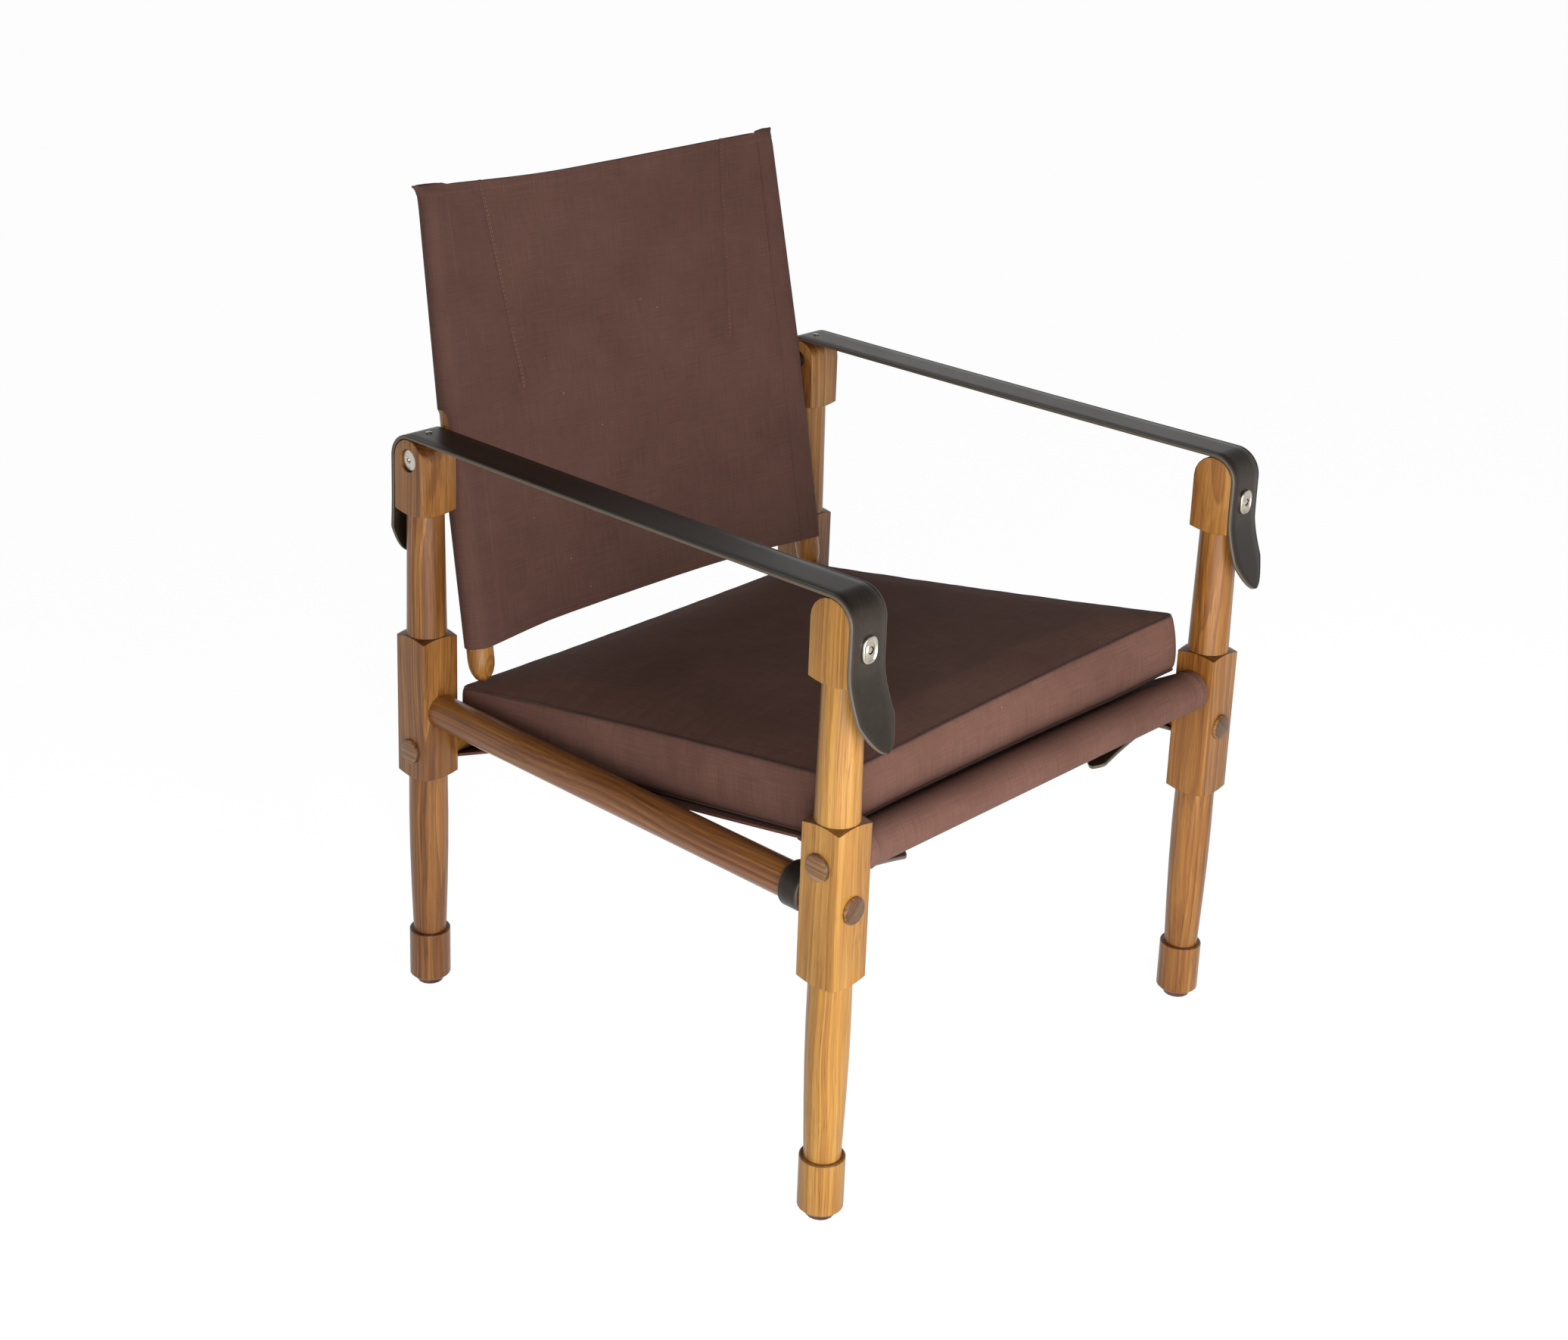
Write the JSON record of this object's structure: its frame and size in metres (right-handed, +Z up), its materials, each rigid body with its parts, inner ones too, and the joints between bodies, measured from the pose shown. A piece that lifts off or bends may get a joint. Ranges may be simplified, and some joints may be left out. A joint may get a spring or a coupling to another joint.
{
  "type": "campaign chair",
  "caption": "Low knock-down armchair: turned wooden legs and rails, a canvas sling seat with a loose boxed cushion, leather strap arms and a canvas back that tilts on its posts.",
  "frame": {"origin": "on the floor, under the middle of the chair's overall box at rest", "axes": "+Z up, -Y towards the sitter's front, +X towards the sitter's left hand"},
  "size_m": [0.5918, 0.6356, 0.8117],
  "materials": {
    "oiled_walnut": "oiled, satin",
    "red_walnut": "oiled, satin",
    "dark_walnut": "oiled, satin",
    "brown_canvas": "matte plain weave",
    "black_leather": "waxed, satin",
    "nickel": "nickel plated, satin",
    "steel": "bright, satin",
    "brass": "plain",
    "bronzed_steel": "bronzed, satin"
  },
  "bodies": {
    "frame": {"leg_front_left": "oiled_walnut", "leg_front_right": "oiled_walnut", "leg_rear_left": "oiled_walnut", "leg_rear_right": "oiled_walnut", "glide_front_left": "bronzed_steel", "glide_front_right": "bronzed_steel", "glide_rear_left": "bronzed_steel", "glide_rear_right": "bronzed_steel", "rail_front": "red_walnut", "rail_rear": "red_walnut", "rail_left": "red_walnut", "rail_right": "red_walnut", "bolt_front_rail_left": "steel", "bolt_front_rail_right": "steel", "bolt_rear_rail_left": "steel", "bolt_rear_rail_right": "steel", "bolt_left_rail_front": "steel", "bolt_left_rail_rear": "steel", "bolt_right_rail_front": "steel", "bolt_right_rail_rear": "steel", "insert_front_rail_left": "brass", "insert_front_rail_right": "brass", "insert_rear_rail_left": "brass", "insert_rear_rail_right": "brass", "insert_left_rail_front": "brass", "insert_left_rail_rear": "brass", "insert_right_rail_front": "brass", "insert_right_rail_rear": "brass", "button_front_rail_left": "dark_walnut", "button_front_rail_right": "dark_walnut", "button_rear_rail_left": "dark_walnut", "button_rear_rail_right": "dark_walnut", "button_left_rail_front": "dark_walnut", "button_left_rail_rear": "dark_walnut", "button_right_rail_front": "dark_walnut", "button_right_rail_rear": "dark_walnut", "seat_sling": "brown_canvas", "arm_strap_left": "black_leather", "snap_plate_left": "nickel", "snap_stud_left": "nickel", "strap_screw_left": "nickel", "strap_nail_left": "bronzed_steel", "arm_strap_right": "black_leather", "snap_plate_right": "nickel", "snap_stud_right": "nickel", "strap_screw_right": "nickel", "strap_nail_right": "bronzed_steel", "thigh_strap": "black_leather", "thigh_strap_rivet_left": "nickel", "thigh_strap_rivet_right": "nickel", "pivot_bolt_left": "steel", "pivot_bolt_right": "steel"},
    "cushion": {"seat_cushion": "brown_canvas"},
    "backrest": {"back_post_left": "oiled_walnut", "pivot_insert_left": "brass", "pivot_spacer_left": "black_leather", "back_post_right": "oiled_walnut", "pivot_insert_right": "brass", "pivot_spacer_right": "black_leather", "back_canvas": "brown_canvas"}
  },
  "joints": [
    {"name": "back_tilt", "type": "hinge", "parent": "frame", "child": "backrest", "pos_m": [0, 0.26442, 0.561], "axis": [-1, 0, 0], "range_deg": [-10.5, 24.5]},
    {"name": "cushion_lift_out", "type": "slide", "parent": "frame", "child": "cushion", "axis": [0, -0.9483, 0.3173], "range_m": [0, 0.62]}
  ]
}
